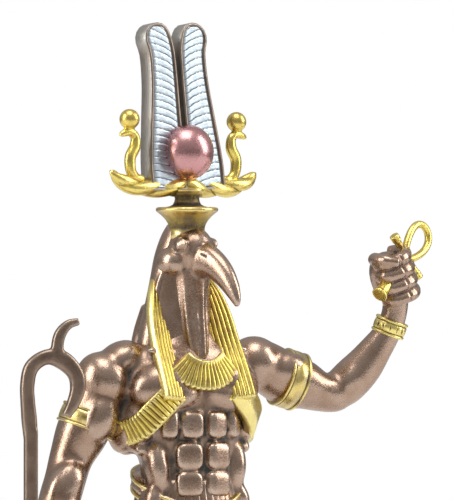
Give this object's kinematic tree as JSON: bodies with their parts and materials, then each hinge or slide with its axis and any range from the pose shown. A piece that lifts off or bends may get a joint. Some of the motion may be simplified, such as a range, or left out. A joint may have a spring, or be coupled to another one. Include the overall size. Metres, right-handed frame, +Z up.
{
  "type": "egyptian god statue",
  "caption": "Standing ibis-headed Egyptian figure with a tall plumed crown, raised ankh and staff, on a low plinth; a table-top ornament.",
  "frame": {"origin": "middle of the plinth's underside, on the surface that the statue stands on", "axes": "+Z up, the figure faces -Y, its left side with the raised arm is +X"},
  "size_m": [0.17, 0.084, 0.3007],
  "materials": {
    "bronze": "cast resin with a rubbed bronze-look metallic finish, satin",
    "staff": "cast resin with a dark bronze-look metallic finish, satin",
    "base": "cast resin with a dark rubbed bronze-look finish",
    "gold": "gold metallic paint, dry-brushed over bronze with a dark wash in the grooves",
    "pewter": "pewter-grey metallic paint with dark lines",
    "copper": "red copper metallic paint, smooth",
    "gem": "clear red gloss enamel"
  },
  "bodies": {
    "root": {"plinth": "base", "figure": "bronze", "was_sceptre": "staff"}
  },
  "joints": []
}
